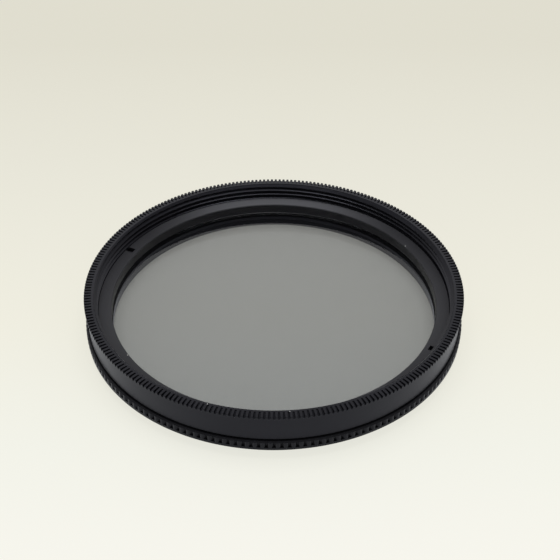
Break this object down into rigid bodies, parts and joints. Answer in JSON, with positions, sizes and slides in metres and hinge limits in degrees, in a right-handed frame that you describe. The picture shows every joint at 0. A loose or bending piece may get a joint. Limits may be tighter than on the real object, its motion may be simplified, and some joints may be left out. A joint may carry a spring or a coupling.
{
  "type": "circular polarizing filter",
  "caption": "Round screw-in polarizing filter for a camera lens: a knurled front ring with grey glass turns in a notched base ring that ends in the lens thread.",
  "frame": {"origin": "on the optical axis, in the plane of the end of the lens thread on which the filter lies", "axes": "+Z along the optical axis out of the front, away from the lens; -Y towards the camera of the picture; +X to its right"},
  "size_m": [0.055, 0.055, 0.0075],
  "materials": {
    "black_anodised": "satin black anodised, fine turned",
    "spring_wire": "bright drawn spring wire",
    "optical_glass": "polished, clear",
    "polarizer": "smooth neutral grey film",
    "retarder": "smooth clear film"
  },
  "bodies": {
    "base": {"base_ring": "black_anodised", "snap_ring": "spring_wire"},
    "front": {"front_ring": "black_anodised", "glass_retaining_ring": "black_anodised", "front_glass": "optical_glass", "polarizing_film": "polarizer", "quarter_wave_film": "retarder", "rear_glass": "optical_glass"}
  },
  "joints": [
    {"name": "ring_turn", "type": "hinge", "parent": "base", "child": "front", "pos_m": [0, 0, 0.003], "axis": [0, 0, 1], "continuous": true}
  ]
}
